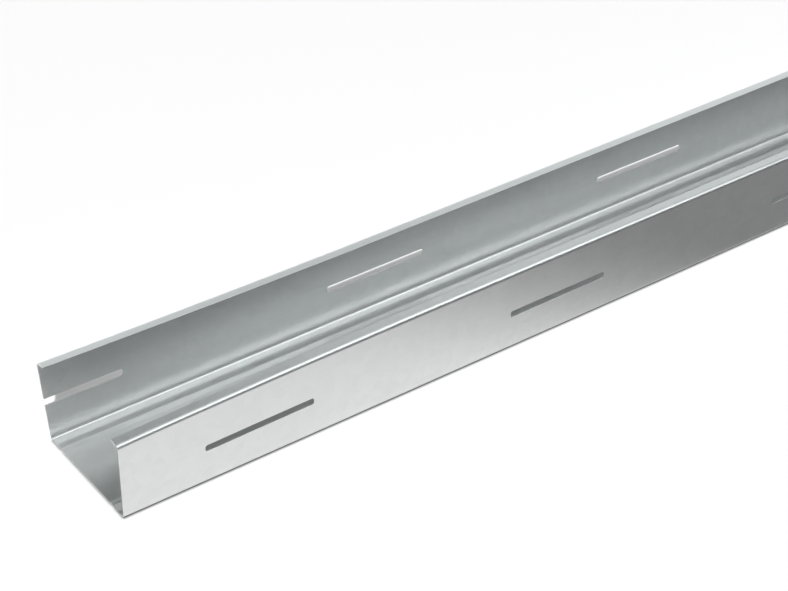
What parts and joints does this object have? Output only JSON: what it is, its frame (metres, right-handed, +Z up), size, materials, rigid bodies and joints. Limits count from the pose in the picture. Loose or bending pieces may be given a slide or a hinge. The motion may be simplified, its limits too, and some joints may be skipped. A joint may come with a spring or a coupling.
{
  "type": "drywall metal stud",
  "caption": "C-shaped roll-formed steel stud lying on its web, with inturned lips, ridged web edges and staggered narrow slots in both flanges.",
  "frame": {"origin": "under the middle of the web, on the level that the two foot beads rest on", "axes": "+X along the stud, +Y across the web, +Z up out of the open side; the -X end is the one whose +Y flange has the longer cut-open slot"},
  "size_m": [2.4, 0.0722, 0.0403],
  "materials": {
    "galvanised_sheet": "bright galvanised, satin, with fine rolling streaks"
  },
  "bodies": {
    "root": {"stud": "galvanised_sheet"}
  },
  "joints": []
}
